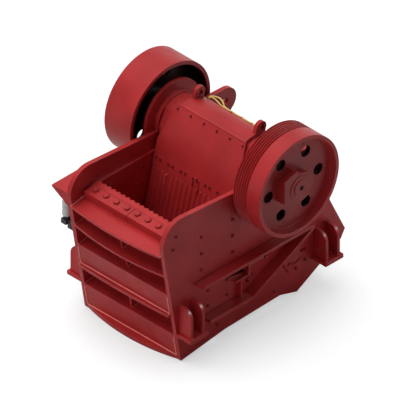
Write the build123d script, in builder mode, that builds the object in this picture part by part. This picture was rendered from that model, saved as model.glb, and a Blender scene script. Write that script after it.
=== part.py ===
from build123d import *
import os
from math import cos, radians, sin, tan

os.makedirs("parts", exist_ok=True)

# Single-toggle jaw crusher, in millimetres.
# +X runs along the shaft towards the grooved wheel, -Y is the fixed jaw's end, +Z is up.
# The origin is the centre of the four foundation bolts, on the underside of the feet.

# Main frame
inside_width = 1442
plate_thick = 60
shaft_y = 268
shaft_z = 1605
overrun = 20

# Outline of a side plate, seen along the shaft
lean = 9.8
sole_z = -364
brow_z = 1668
brow_round = 300
saddle_y = -52
saddle_z = 1546
belly_front_y = -460
belly_front_z = -273
belly_z = -245
belly_rear_y = 434
heel_y = 710
heel_z = -330
haunch_y = 1067
haunch_z = -137
tail_low_y = 1425
tail_low_z = 64
tail_y = 1490
tail_z = 175
back_y = 1246
back_z = 688
neck_y = 1132
neck_z = 1247
crown_y = 827
crown_z = 1606
lug_y = 1052
lug_z = 1423
lug_radius = 174
lug_hole_radius = 45

# Front end: wall, ribs and covers between the side plates
recess_depth = 244
wall_thick = 90
wall_top = 1596
rib_thick = 30
rib_one_end_bulge = 15
rib_one_bulge = 67
rib_two_rise = 1268
rib_two_bulge = 62
shelf_thick = 40
shelf_one_rise = 954
rib_three_rise = 656
rib_three_thick = 45
rib_three_end_bulge = 30
rib_three_bulge = 50
shelf_two_rise = 336
sill_thick = 60
sill_bulge = 90
cover_thick = 20
gusset_thick = 26
gusset_one_setback = 45
gusset_two_setback = 75
gusset_three_setback = 42

# Jaw dies and the bars that clamp the fixed one
fixed_die_thick = 80
moving_die_thick = 84
moving_die_toe = 15
discharge_gap = 146
tooth_height = 16
tooth_count = 18
tooth_crest_share = 0.22
cheek_thick = 32
cheek_gap = 13
cheek_top_z = 1345
fixed_die_foot = 20
bar_thick = 99
bar_front_depth = 185
bar_gap = 4

# Bearing housings
housing_radius = 450
housing_thick = 45
housing_boss_radius = 314
running_gap = 0.4

# Shaft and wheels
shaft_radius = 110
journal_radius = 150
shaft_stub = 8
shaft_centre_radius = 30
wheel_radius = 650
wheel_gap = 10
rim_width = 420
rim_thick = 75
rim_lip = 48
web_setback = 93
web_thick = 65
hub_radius = 195
boss_stand = 121
counterweight_reach = 259
counterweight_low = -124
counterweight_high = 193
counterweight_peak = 250
counterweight_lean = 20
collar_radius = 165
collar_stand = 8
hole_circle_radius = 403
wheel_hole_radius = 74
wheel_hole_count = 6
groove_count = 6
groove_depth = 30
groove_land = 6
groove_band = 214

# Pitman: the swinging casting behind the moving jaw
barrel_radius = 350
barrel_setback = 201
barrel_end_radius = 306
barrel_end_gap = 6
jaw_lean = 14.5
face_length = 2045
step_start = 513
step_depth = 102
slab_thick = 110
pitman_rib_thick = 45
pitman_rib_count = 4
rib_run = 2000
rib_shoulder_y = 130
rib_shoulder_z = -560
spine_y = -250
spine_z = -1250
seat_y = -462
seat_z = -1690
seat_block = 150
seat_depth = 130
ear_radius = 78
ear_thick = 50
ear_hole_radius = 33
ear_rise = 69
ear_lean = 18
guard_thick = 24
guard_depth = 12
guard_bend_down = 300
guard_top_stand = 25
guard_top_turn = 24
guard_overhang = 27
guard_taper_drop = 438
wedge_gap = 3

# Toggle plate and its beam
toggle_rear_y = 640
toggle_rear_z = -1420
toggle_thick = 60
toggle_nose_radius = 45
toggle_setback = 161
toggle_gap = 0.5
beam_thick = 50
beam_depth = 330
beam_height = 420

# Feet
foot_spacing_x = 1794
foot_spacing_y = 2194
foot_edge = 110
foot_length = 284
foot_thick = 52
foot_hole_radius = 28
foot_gusset_thick = 40
foot_gusset_top = 435
foot_margin = 28
foot_round_share = 0.575

# Stiffeners outside the side plates
stiffener_reach = 145
stiffener_thick = 38
upper_stiffener_z = 579
upper_stiffener_front_y = -935
upper_stiffener_rear_y = 850
lower_stiffener_z = 59
lower_stiffener_foot_gap = 118
lower_stiffener_bend_y = -148
stiffener_meet = 26

# Slot in a side plate over the jaw's wedge, with its bracket and rod
slot_tip_y = -465
slot_tip_z = 425
slot_shoulder_y = -335
slot_top_z = 475
slot_rear_y = -138
slot_low_z = 366
slot_shoulder_z = 402
bracket_reach = 62
bracket_thick = 24
bracket_rib_y = -250
post_thick = 32
post_rise = 60
rod_radius = 11
rod_drop = 14
rod_length = 280
rod_lug = 34

# Lubrication shelf and pump on the left
tray_z = 1319
tray_thick = 24
tray_reach = 263
tray_setback = 18
tray_length = 455
tray_gusset_drop = 150
pump_side_gap = 92
pump_width = 80
pump_depth = 110
pump_height = 64
pump_drop = 429
pump_setback = 55
pump_arm_depth = 56
pump_arm_height = 113
pump_neck_radius = 40
pump_neck_height = 45
reservoir_radius = 55
reservoir_height = 182

side_in = inside_width / 2
side_out = side_in + plate_thick
lean_slope = tan(radians(lean))
die_back_depth = recess_depth + wall_thick
die_front_depth = die_back_depth + fixed_die_thick
sides = (("right", 1), ("left", -1))

# Lines of the pitman's face, in the shaft's side view
face_half = side_in - cheek_thick - cheek_gap
rib_pitch = (2 * face_half - pitman_rib_thick) / (pitman_rib_count - 1)
face_down = Vector(-sin(radians(jaw_lean)), -cos(radians(jaw_lean)))
face_in = Vector(cos(radians(jaw_lean)), -sin(radians(jaw_lean)))


def on_face(down, depth):
    """Point in the shaft's side view, so far down the pitman's face and so deep behind it."""
    return face_in * (depth - barrel_radius) + face_down * down


# The frame's nose, set so that the dies' ridges stay the discharge gap apart at the fixed die's foot
slab_back = step_depth + slab_thick
crest_start = on_face(0, step_depth - moving_die_thick - tooth_height)
foot_rise = fixed_die_foot * cos(radians(lean))
foot_drop = crest_start.Y + shaft_z - sole_z - foot_rise
moving_crest_y = shaft_y + crest_start.X - foot_drop * tan(radians(jaw_lean))
crest_run = (die_front_depth + tooth_height) / cos(radians(lean))
nose_y = moving_crest_y - discharge_gap - crest_run + foot_rise * lean_slope
front_face = Plane(
    origin=(0, nose_y, sole_z), x_dir=(1, 0, 0), z_dir=(0, -cos(radians(lean)), -sin(radians(lean)))
)


def across_front(rise):
    """Plane square to the leaning front, at a height along it; its local Y points inwards."""
    spot = front_face.from_local_coords((0, rise, 0))
    return Plane(origin=spot, x_dir=(1, 0, 0), z_dir=front_face.y_dir)


def side_view(x):
    """Plane seen along the shaft, at a place along it, with its origin on the shaft's axis."""
    return Plane(origin=(x, shaft_y, shaft_z), x_dir=(0, 1, 0), z_dir=(1, 0, 0))


def keep(builder, name):
    builder.part.label = name
    export_step(builder.part, f"parts/{name}.step")


def front_y_at(z):
    return nose_y - (z - sole_z) * lean_slope


# Side plates, each cut round the housing's boss and drawn out into a lifting lug
brow_y = front_y_at(brow_z)
for side, sign in sides:
    start = side_in if sign > 0 else -side_out
    with BuildPart() as side_plate:
        with BuildSketch(Plane.YZ.offset(start)) as outline:
            with BuildLine():
                Polyline(
                    (nose_y, sole_z),
                    (brow_y, brow_z),
                    (saddle_y, saddle_z),
                    (crown_y, crown_z),
                    (lug_y, lug_z + lug_radius),
                    (lug_y + lug_radius, lug_z),
                    (neck_y, neck_z),
                    (back_y, back_z),
                    (tail_y, tail_z),
                    (tail_low_y, tail_low_z),
                    (haunch_y, haunch_z),
                    (heel_y, heel_z),
                    (belly_rear_y, belly_z),
                    (belly_front_y, belly_front_z),
                    close=True,
                )
            make_face()
            corner = outline.vertices().sort_by_distance((brow_y, brow_z))[0]
            fillet(corner, radius=brow_round)
            with Locations((lug_y, lug_z)):
                Circle(lug_radius)
                Circle(lug_hole_radius, mode=Mode.SUBTRACT)
            with Locations((shaft_y, shaft_z)):
                Circle(housing_boss_radius + running_gap, mode=Mode.SUBTRACT)
            with BuildLine():
                Polyline(
                    (slot_tip_y, slot_tip_z),
                    (slot_shoulder_y, slot_top_z),
                    (slot_rear_y, slot_top_z),
                    (slot_rear_y, slot_low_z),
                    (slot_shoulder_y, slot_shoulder_z),
                    close=True,
                )
            make_face(mode=Mode.SUBTRACT)
        extrude(amount=plate_thick)
    keep(side_plate, f"side_plate_{side}")

# Bearing housings: a flange on the plate's outer face and a boss in its saddle
for side, sign in sides:
    with BuildPart() as housing:
        with BuildSketch(side_view(sign * side_in)):
            Circle(housing_boss_radius)
            Circle(shaft_radius + running_gap, mode=Mode.SUBTRACT)
        extrude(amount=sign * plate_thick)
        with BuildSketch(side_view(sign * side_out)):
            Circle(housing_radius)
            Circle(shaft_radius + running_gap, mode=Mode.SUBTRACT)
        extrude(amount=sign * housing_thick)
    keep(housing, f"bearing_housing_{side}")

# Front wall
with BuildPart() as front_wall:
    with BuildSketch(across_front(0)):
        with Locations((0, recess_depth + wall_thick / 2)):
            Rectangle(inside_width, wall_thick)
    extrude(amount=wall_top)
keep(front_wall, "front_wall")


def crescent_rib(rise, thick, end_bulge, middle_bulge):
    """Plate from the front wall out past the front edge, its nose an arc."""
    with BuildPart() as rib:
        with BuildSketch(across_front(rise)):
            with BuildLine():
                back = Line((-side_in, recess_depth), (side_in, recess_depth))
                right = Line(back @ 1, (side_in, -end_bulge))
                nose = ThreePointArc(right @ 1, (0, -middle_bulge), (-side_in, -end_bulge))
                Line(nose @ 1, back @ 0)
            make_face()
        extrude(amount=thick)
    return rib


rib_one_rise = wall_top - rib_thick
ribs = (
    ("front_rib_top", rib_one_rise, rib_thick, rib_one_end_bulge, rib_one_bulge),
    ("front_rib_upper", rib_two_rise, rib_thick, 0, rib_two_bulge),
    ("front_rib_lower", rib_three_rise, rib_three_thick, rib_three_end_bulge, rib_three_bulge),
    ("front_rib_bottom", 0, sill_thick, 0, sill_bulge),
)
for name, rise, thick, end_bulge, middle_bulge in ribs:
    keep(crescent_rib(rise, thick, end_bulge, middle_bulge), name)

# Shelves over the two closed bays
for name, rise in (("front_shelf_upper", shelf_one_rise), ("front_shelf_lower", shelf_two_rise)):
    with BuildPart() as shelf:
        with BuildSketch(across_front(rise)):
            with Locations((0, recess_depth / 2)):
                Rectangle(inside_width, recess_depth)
        extrude(amount=shelf_thick)
    keep(shelf, name)

# Cover plates in front of the two closed bays
covers = (
    ("front_cover_upper", rib_three_rise + rib_three_thick, shelf_one_rise),
    ("front_cover_lower", sill_thick, shelf_two_rise),
)
for name, low, high in covers:
    with BuildPart() as cover:
        with BuildSketch(across_front(low)):
            with Locations((0, cover_thick / 2)):
                Rectangle(inside_width, cover_thick)
        extrude(amount=high - low)
    keep(cover, name)

# Upright gussets at the middle of the open bays
gussets = (
    ("front_gusset_top", gusset_one_setback, rib_two_rise + rib_thick, rib_one_rise),
    ("front_gusset_upper", gusset_two_setback, shelf_one_rise + shelf_thick, rib_two_rise),
    ("front_gusset_lower", gusset_three_setback, shelf_two_rise + shelf_thick, rib_three_rise),
)
for name, setback, low, high in gussets:
    with BuildPart() as gusset:
        with BuildSketch(across_front(low)):
            with Locations((0, (recess_depth + setback) / 2)):
                Rectangle(gusset_thick, recess_depth - setback)
        extrude(amount=high - low)
    keep(gusset, name)


def toothed_profile(half_width, back, root):
    """Closed line of a jaw die in plan: flat back, ridges on the working face."""
    pitch = 2 * half_width / tooth_count
    crest = pitch * tooth_crest_share
    points = [(-half_width, back), (-half_width, root)]
    for tooth in range(tooth_count):
        left = -half_width + tooth * pitch
        points.append((left + crest / 2, root))
        points.append((left + pitch / 2 - crest / 2, root + tooth_height))
        points.append((left + pitch / 2 + crest / 2, root + tooth_height))
        points.append((left + pitch - crest / 2, root))
    points += [(half_width, root), (half_width, back)]
    return points


# Fixed jaw die, bolted to the front wall and as high as its clamp bars
fixed_half = side_in - cheek_thick - running_gap
bar_top = wall_top + bar_thick
with BuildPart() as fixed_die:
    with BuildSketch(across_front(fixed_die_foot)):
        with BuildLine():
            Polyline(*toothed_profile(fixed_half, die_back_depth, die_front_depth), close=True)
        make_face()
    extrude(amount=bar_top - fixed_die_foot)
keep(fixed_die, "fixed_jaw_die")

# Two clamp bars on the front wall, behind the top of the fixed jaw die
for side, sign in sides:
    with BuildPart() as bar:
        with BuildSketch(across_front(wall_top)):
            with Locations((sign * (fixed_half + bar_gap) / 2, (bar_front_depth + die_back_depth) / 2)):
                Rectangle(fixed_half - bar_gap, die_back_depth - bar_front_depth)
        extrude(amount=bar_thick)
    keep(bar, f"jaw_clamp_bar_{side}")

# Cheek plates lining the chamber
cheek_low_z = belly_z + plate_thick
for side, sign in sides:
    start = side_in - cheek_thick if sign > 0 else -side_in
    low_y = front_y_at(cheek_low_z) + die_back_depth / cos(radians(lean))
    high_y = front_y_at(cheek_top_z) + die_back_depth / cos(radians(lean))
    with BuildPart() as cheek:
        with BuildSketch(Plane.YZ.offset(start)):
            with BuildLine():
                Polyline(
                    (low_y, cheek_low_z),
                    (high_y, cheek_top_z),
                    (shaft_y + on_face(step_start, slab_back).X, cheek_top_z),
                    (shaft_y + on_face(rib_run, slab_back).X, cheek_low_z),
                    close=True,
                )
            make_face()
        extrude(amount=cheek_thick)
    keep(cheek, f"cheek_plate_{side}")

# Pitman: barrel round the shaft, face slab and ribs behind it
guard_back = guard_depth + guard_thick
guard_top_way = Vector(-sin(radians(guard_top_turn)), cos(radians(guard_top_turn)))
guard_top = guard_top_way * (barrel_radius + guard_top_stand)
guard_bend = on_face(guard_bend_down, guard_depth)
guard_chord = guard_top - guard_bend
guard_radius = guard_chord.dot(guard_chord) / (2 * guard_chord.dot(face_in))
guard_centre = guard_bend + face_in * guard_radius
guard_middle_out = (guard_top + guard_bend - guard_centre * 2).normalized()
guard_top_out = (guard_top - guard_centre).normalized()
guard_inner = (
    on_face(guard_bend_down, guard_back),
    guard_centre + guard_middle_out * (guard_radius - guard_thick),
    guard_top - guard_top_out * guard_thick,
)
slab_line = (
    on_face(0, guard_back),
    on_face(step_start, guard_back),
    on_face(step_start, step_depth),
    on_face(face_length, step_depth),
    on_face(face_length, slab_back),
    on_face(0, slab_back),
)
rib_line = (
    on_face(0, slab_back),
    on_face(rib_run, slab_back),
    (seat_y, seat_z - seat_block / 2),
    (seat_y, seat_z + seat_block / 2),
    (spine_y, spine_z),
    (rib_shoulder_y, rib_shoulder_z),
    (barrel_end_radius, 0),
)
barrel_half = side_in - barrel_setback
barrel_end_half = side_in - barrel_end_gap

with BuildPart() as pitman:
    with BuildSketch(side_view(-barrel_half)):
        Circle(barrel_radius)
    extrude(amount=2 * barrel_half)
    with BuildSketch(side_view(-barrel_end_half)):
        Circle(barrel_end_radius)
    extrude(amount=2 * barrel_end_half)
    with BuildSketch(side_view(-face_half)):
        with BuildLine():
            Polyline(*slab_line, close=True)
        make_face()
    extrude(amount=2 * face_half)
    for number in range(pitman_rib_count):
        with BuildSketch(side_view(number * rib_pitch - face_half)):
            with BuildLine():
                Polyline(*rib_line, close=True)
            make_face()
        extrude(amount=pitman_rib_thick)
    with BuildSketch(side_view(-face_half)):
        with Locations((seat_y - seat_depth / 2, seat_z)):
            Rectangle(seat_depth, seat_block)
    extrude(amount=2 * face_half)
    with BuildSketch(side_view(-barrel_end_half)):
        with BuildLine():
            bed = ThreePointArc(*guard_inner)
            Polyline(
                bed @ 1,
                guard_top + guard_top_out * 2 * barrel_radius,
                on_face(step_start, -barrel_radius),
                on_face(step_start, guard_back),
                bed @ 0,
            )
        make_face()
    extrude(amount=2 * barrel_end_half, mode=Mode.SUBTRACT)
    with BuildSketch(side_view(-face_half)):
        with Locations((seat_y, seat_z)):
            Circle(toggle_nose_radius + toggle_gap)
    extrude(amount=2 * face_half, mode=Mode.SUBTRACT)
    with BuildSketch(side_view(-barrel_end_half)):
        Circle(journal_radius + running_gap)
    extrude(amount=2 * barrel_end_half, mode=Mode.SUBTRACT)
keep(pitman, "pitman")

# Lifting ears near the ends of the barrel, set behind its top
for side, sign in sides:
    ear_start = sign * (barrel_half - ear_thick / 2) - ear_thick / 2
    ear_plane = Plane(
        origin=(ear_start, shaft_y, shaft_z),
        x_dir=(0, cos(radians(ear_lean)), -sin(radians(ear_lean))),
        z_dir=(1, 0, 0),
    )
    with BuildPart() as ear:
        with BuildSketch(ear_plane):
            with Locations((0, barrel_radius + ear_rise)):
                Circle(ear_radius)
            with Locations((0, barrel_radius + ear_rise / 2)):
                Rectangle(2 * ear_radius, ear_rise)
            with Locations((0, barrel_radius)):
                Rectangle(2 * ear_radius, ear_radius)
            with Locations((0, barrel_radius + ear_rise)):
                Circle(ear_hole_radius, mode=Mode.SUBTRACT)
            Circle(barrel_radius, mode=Mode.SUBTRACT)
        extrude(amount=ear_thick)
    keep(ear, f"pitman_ear_{side}")

# Guard plate, curved up from the jaw's face on to the barrel and narrowing to its upper edge
guard_top_half = barrel_half + guard_overhang
taper_z = shaft_z + guard_top.Y - guard_taper_drop
guard_low_z = shaft_z + on_face(step_start, guard_back).Y - guard_thick
with BuildPart() as guard:
    with BuildSketch(side_view(-face_half)):
        with BuildLine():
            inner = ThreePointArc(*guard_inner)
            outer = ThreePointArc(guard_top, guard_centre + guard_middle_out * guard_radius, guard_bend)
            Line(inner @ 1, outer @ 0)
            Polyline(
                outer @ 1,
                on_face(step_start, guard_depth),
                on_face(step_start, guard_back),
                inner @ 0,
            )
        make_face()
    extrude(amount=2 * face_half)
    with BuildSketch(Plane.XZ.offset(-shaft_y)):
        with BuildLine():
            Polyline(
                (-guard_top_half, shaft_z + guard_top.Y),
                (guard_top_half, shaft_z + guard_top.Y),
                (face_half, taper_z),
                (face_half, guard_low_z),
                (-face_half, guard_low_z),
                (-face_half, taper_z),
                close=True,
            )
        make_face()
    extrude(amount=2 * barrel_radius, mode=Mode.INTERSECT)
keep(guard, "pitman_guard_plate")

# Moving jaw die on the pitman's lower face
die_corner = on_face(step_start + wedge_gap, step_depth)
jaw_plane = Plane(
    origin=(0, shaft_y + die_corner.X, shaft_z + die_corner.Y),
    x_dir=(1, 0, 0),
    z_dir=(0, face_down.X, face_down.Y),
)
with BuildPart() as moving_die:
    with BuildSketch(jaw_plane):
        with BuildLine():
            Polyline(*toothed_profile(face_half, 0, moving_die_thick), close=True)
        make_face()
    extrude(amount=face_length - moving_die_toe - step_start - wedge_gap)
keep(moving_die, "moving_jaw_die")

# Toggle plate, with a round nose in each seat
toggle_half = side_in - toggle_setback
toggle_run = Vector(0, toggle_rear_y - seat_y, toggle_rear_z - seat_z)
toggle_plane = Plane(
    origin=(-toggle_half, shaft_y + seat_y, shaft_z + seat_z), x_dir=toggle_run, z_dir=(1, 0, 0)
)
with BuildPart() as toggle:
    with BuildSketch(toggle_plane):
        with Locations((toggle_run.length / 2, 0)):
            Rectangle(toggle_run.length, toggle_thick)
        Circle(toggle_nose_radius)
        with Locations((toggle_run.length, 0)):
            Circle(toggle_nose_radius)
    extrude(amount=2 * toggle_half)
keep(toggle, "toggle_plate")

# Toggle beam across the rear of the frame
with BuildPart() as beam:
    with BuildSketch(side_view(-side_in)):
        with Locations((toggle_rear_y + beam_depth / 2, toggle_rear_z)):
            Rectangle(beam_depth, beam_height)
        with Locations((toggle_rear_y + beam_depth / 2 + beam_thick / 2, toggle_rear_z)):
            Rectangle(beam_depth - 2 * beam_thick, beam_height - 2 * beam_thick, mode=Mode.SUBTRACT)
        with Locations((toggle_rear_y, toggle_rear_z)):
            Circle(toggle_nose_radius + toggle_gap, mode=Mode.SUBTRACT)
    extrude(amount=inside_width)
keep(beam, "toggle_beam")

# Places along the shaft, from the housing's face outwards
wheel_inner_x = side_out + housing_thick + wheel_gap
wheel_outer_x = wheel_inner_x + rim_width
web_outer_x = wheel_outer_x - web_setback
boss_outer_x = web_outer_x + boss_stand
collar_outer_x = boss_outer_x + collar_stand
shaft_end_x = collar_outer_x + shaft_stub

# Eccentric shaft
with BuildPart() as shaft:
    with BuildSketch(side_view(-shaft_end_x)):
        Circle(shaft_radius)
    extrude(amount=2 * shaft_end_x)
    with BuildSketch(side_view(-barrel_end_half)):
        Circle(journal_radius)
    extrude(amount=2 * barrel_end_half)
    for end in (-shaft_end_x, shaft_end_x - shaft_centre_radius):
        with BuildSketch(side_view(end)):
            Circle(shaft_centre_radius)
        extrude(amount=shaft_centre_radius, mode=Mode.SUBTRACT)
keep(shaft, "eccentric_shaft")


def wheel_section(grooved):
    """Half section of a wheel: distance along the shaft and radius."""
    rim_in = wheel_radius - rim_thick
    bore = shaft_radius + running_gap / 2
    points = [
        (wheel_inner_x, wheel_radius - rim_lip),
        (wheel_inner_x, wheel_radius),
    ]
    if grooved:
        pitch = groove_band / groove_count
        for groove in range(groove_count):
            left = wheel_inner_x + groove * pitch
            points.append((left + groove_land / 2, wheel_radius))
            points.append((left + pitch / 2, wheel_radius - groove_depth))
            points.append((left + pitch - groove_land / 2, wheel_radius))
    points += [
        (wheel_outer_x, wheel_radius),
        (wheel_outer_x, wheel_radius - rim_lip),
        (web_outer_x, rim_in),
        (web_outer_x, hub_radius),
        (boss_outer_x, hub_radius),
        (boss_outer_x, collar_radius),
        (collar_outer_x, collar_radius),
        (collar_outer_x, bore),
        (wheel_inner_x, bore),
        (wheel_inner_x, hub_radius),
        (web_outer_x - web_thick, hub_radius),
        (web_outer_x - web_thick, rim_in),
    ]
    return points


# Wheels: the grooved one on the right takes the belts
block_end_y = hub_radius * cos(radians(counterweight_lean))
block_end_z = hub_radius * sin(radians(counterweight_lean))
for side, sign in sides:
    section_plane = Plane(origin=(0, shaft_y, shaft_z), x_dir=(sign, 0, 0), z_dir=(0, -sign, 0))
    with BuildPart() as wheel:
        with BuildSketch(section_plane):
            with BuildLine():
                Polyline(*wheel_section(sign > 0), close=True)
            make_face()
        revolve(axis=Axis((0, shaft_y, shaft_z), (1, 0, 0)))
        with BuildSketch(side_view(sign * web_outer_x)):
            with BuildLine():
                Polyline(
                    (-counterweight_reach, counterweight_low),
                    (-counterweight_reach, counterweight_high),
                    (-block_end_z, counterweight_peak),
                    (block_end_y, block_end_z),
                    (0, -hub_radius),
                    close=True,
                )
            make_face()
            Circle(hub_radius, mode=Mode.SUBTRACT)
        extrude(amount=sign * boss_stand)
        with BuildSketch(side_view(sign * (web_outer_x + overrun))):
            with PolarLocations(hole_circle_radius, wheel_hole_count):
                Circle(wheel_hole_radius)
        extrude(amount=-sign * (web_thick + 2 * overrun), mode=Mode.SUBTRACT)
    keep(wheel, f"flywheel_{side}")

# Feet: drilled base with two upright gussets, welded to the side plates
foot_outer_x = foot_spacing_x / 2 + foot_edge
foot_reach = foot_outer_x - side_out
foot_mid_x = (foot_outer_x + side_out) / 2
foot_gusset_reach = foot_reach - foot_margin
foot_gusset_mid_x = side_out + foot_gusset_reach / 2
foot_gusset_round = foot_round_share * foot_reach
for end, along in (("front", -1), ("rear", 1)):
    for side, sign in sides:
        centre_y = along * foot_spacing_y / 2
        with BuildPart() as foot:
            with BuildSketch(Plane.XY):
                with Locations((sign * foot_mid_x, centre_y)):
                    Rectangle(foot_reach, foot_length)
                with Locations((sign * foot_spacing_x / 2, centre_y)):
                    Circle(foot_hole_radius, mode=Mode.SUBTRACT)
            extrude(amount=foot_thick)
            for edge in (-1, 1):
                gusset_y = centre_y + edge * (foot_length / 2 - foot_margin - foot_gusset_thick / 2)
                with BuildSketch(Plane.XZ.offset(-gusset_y - foot_gusset_thick / 2)) as upright:
                    with Locations((sign * foot_gusset_mid_x, (foot_gusset_top + foot_thick) / 2)):
                        Rectangle(foot_gusset_reach, foot_gusset_top - foot_thick)
                    top = upright.vertices().group_by(Axis.Y)[-1]
                    fillet(top.sort_by(Axis.X)[-1 if sign > 0 else 0], radius=foot_gusset_round)
                extrude(amount=foot_gusset_thick)
        keep(foot, f"foot_{end}_{side}")

# Stiffeners along the outside of the side plates: the lower one climbs to meet the upper one
lower_front_y = (foot_length - foot_spacing_y) / 2 + lower_stiffener_foot_gap
lower_top_z = lower_stiffener_z + stiffener_thick
meet_y = upper_stiffener_rear_y - stiffener_meet
climb = (upper_stiffener_z - lower_top_z) / (meet_y - lower_stiffener_bend_y)
end_low_z = lower_stiffener_z + climb * (upper_stiffener_rear_y - lower_stiffener_bend_y)
for side, sign in sides:
    start = side_out if sign > 0 else -side_out - stiffener_reach
    with BuildPart() as upper:
        with BuildSketch(Plane.YZ.offset(start)):
            with BuildLine():
                Polyline(
                    (upper_stiffener_front_y, upper_stiffener_z),
                    (upper_stiffener_rear_y, upper_stiffener_z),
                    (upper_stiffener_rear_y, upper_stiffener_z + stiffener_thick),
                    (upper_stiffener_front_y, upper_stiffener_z + stiffener_thick),
                    close=True,
                )
            make_face()
        extrude(amount=stiffener_reach)
    keep(upper, f"side_stiffener_upper_{side}")
    with BuildPart() as lower:
        with BuildSketch(Plane.YZ.offset(start)):
            with BuildLine():
                Polyline(
                    (lower_front_y, lower_stiffener_z),
                    (lower_stiffener_bend_y, lower_stiffener_z),
                    (upper_stiffener_rear_y, end_low_z),
                    (upper_stiffener_rear_y, upper_stiffener_z),
                    (meet_y, upper_stiffener_z),
                    (lower_stiffener_bend_y, lower_top_z),
                    (lower_front_y, lower_top_z),
                    close=True,
                )
            make_face()
        extrude(amount=stiffener_reach)
    keep(lower, f"side_stiffener_lower_{side}")

# Brackets under the slots: a shelf on a rib, a post and a level rod held at its far end by a lug
shelf_top_z = slot_low_z
rod_z = slot_top_z - rod_drop
rod_start_y = slot_rear_y + post_thick
for side, sign in sides:
    start = side_out if sign > 0 else -side_out - bracket_reach
    rod_x = sign * (side_out + bracket_reach / 2)
    with BuildPart() as bracket:
        with BuildSketch(Plane.YZ.offset(start)):
            with Locations(((slot_shoulder_y + rod_start_y) / 2, shelf_top_z - bracket_thick / 2)):
                Rectangle(rod_start_y - slot_shoulder_y, bracket_thick)
            with Locations((bracket_rib_y, (shelf_top_z + lower_top_z) / 2)):
                Rectangle(bracket_thick, shelf_top_z - lower_top_z)
            with Locations((slot_rear_y + post_thick / 2, (slot_top_z + post_rise + shelf_top_z) / 2)):
                Rectangle(post_thick, slot_top_z + post_rise - shelf_top_z)
            with Locations((rod_start_y + rod_length - rod_lug / 2, rod_z)):
                Rectangle(rod_lug, rod_lug)
        extrude(amount=bracket_reach)
        with BuildSketch(Plane.XZ.offset(-rod_start_y)):
            with Locations((rod_x, rod_z)):
                Circle(rod_radius)
        extrude(amount=rod_lug - rod_length)
    keep(bracket, f"adjuster_bracket_{side}")

# Shelf on the left over the grease pump, with its gusset
tray_front_y = front_y_at(tray_z) + tray_setback
with BuildPart() as tray:
    with BuildSketch(Plane.XY.offset(tray_z)):
        with Locations((-side_out - tray_reach / 2, tray_front_y + tray_length / 2)):
            Rectangle(tray_reach, tray_length)
    extrude(amount=tray_thick)
    with BuildSketch(Plane.XZ.offset(-tray_front_y - tray_thick)):
        with BuildLine():
            Polyline(
                (-side_out, tray_z),
                (-side_out - tray_reach, tray_z),
                (-side_out, tray_z - tray_gusset_drop),
                close=True,
            )
        make_face()
    extrude(amount=tray_thick)
keep(tray, "pump_shelf")

# Grease pump on an arm from the side plate, its reservoir standing on its neck
pump_top = tray_z - pump_drop
pump_low = pump_top - pump_height
pump_x = -side_out - pump_side_gap - pump_width / 2
pump_y = front_y_at(pump_top) + pump_setback
with BuildPart() as pump:
    with BuildSketch(Plane.XY.offset(pump_low)):
        with Locations((pump_x, pump_y)):
            Rectangle(pump_width, pump_depth)
    extrude(amount=pump_height)
    with BuildSketch(Plane.XY.offset(pump_top - pump_arm_height)):
        with Locations((-side_out - pump_side_gap / 2, pump_y)):
            Rectangle(pump_side_gap, pump_arm_depth)
    extrude(amount=pump_arm_height)
    with BuildSketch(Plane.XY.offset(pump_top)):
        with Locations((pump_x, pump_y)):
            Circle(pump_neck_radius)
    extrude(amount=pump_neck_height)
keep(pump, "grease_pump")

with BuildPart() as reservoir:
    with BuildSketch(Plane.XY.offset(pump_top + pump_neck_height)):
        with Locations((pump_x, pump_y)):
            Circle(reservoir_radius)
    extrude(amount=reservoir_height)
keep(reservoir, "grease_reservoir")
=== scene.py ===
from math import cos, pi, radians, sin, sqrt

import bpy
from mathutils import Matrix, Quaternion, Vector


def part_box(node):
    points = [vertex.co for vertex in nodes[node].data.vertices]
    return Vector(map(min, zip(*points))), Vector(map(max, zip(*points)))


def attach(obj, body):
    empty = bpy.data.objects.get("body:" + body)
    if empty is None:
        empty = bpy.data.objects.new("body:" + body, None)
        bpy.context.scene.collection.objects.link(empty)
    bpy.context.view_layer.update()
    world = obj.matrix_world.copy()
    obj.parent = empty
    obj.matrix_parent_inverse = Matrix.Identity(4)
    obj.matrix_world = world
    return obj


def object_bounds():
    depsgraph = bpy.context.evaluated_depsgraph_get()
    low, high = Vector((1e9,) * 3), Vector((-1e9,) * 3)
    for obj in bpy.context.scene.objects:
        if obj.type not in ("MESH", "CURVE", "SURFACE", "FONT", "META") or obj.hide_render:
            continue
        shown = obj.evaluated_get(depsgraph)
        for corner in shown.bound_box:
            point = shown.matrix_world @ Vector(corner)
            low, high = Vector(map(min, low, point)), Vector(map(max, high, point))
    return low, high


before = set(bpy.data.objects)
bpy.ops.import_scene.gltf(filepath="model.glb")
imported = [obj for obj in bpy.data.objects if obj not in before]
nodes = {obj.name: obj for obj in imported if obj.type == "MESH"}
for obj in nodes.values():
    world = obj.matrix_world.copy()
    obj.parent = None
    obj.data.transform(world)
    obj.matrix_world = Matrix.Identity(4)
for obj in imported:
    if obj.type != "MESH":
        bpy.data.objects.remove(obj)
cad_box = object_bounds()

# Places taken from the frame, in metres
plate_low, plate_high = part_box("side_plate_right")
side_in = plate_low.x
side_out = plate_high.x
sole_z = plate_low.z
shaft_low, shaft_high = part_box("eccentric_shaft")
shaft_y = (shaft_low.y + shaft_high.y) / 2
shaft_z = (shaft_low.z + shaft_high.z) / 2
wheel_low, wheel_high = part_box("flywheel_right")
wheel_radius = (wheel_high.z - wheel_low.z) / 2
housing_low, housing_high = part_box("bearing_housing_right")
housing_radius = (housing_high.z - housing_low.z) / 2
upper_low, upper_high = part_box("side_stiffener_upper_right")
lower_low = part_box("side_stiffener_lower_right")[0]
cheek_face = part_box("cheek_plate_right")[0].x

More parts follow.
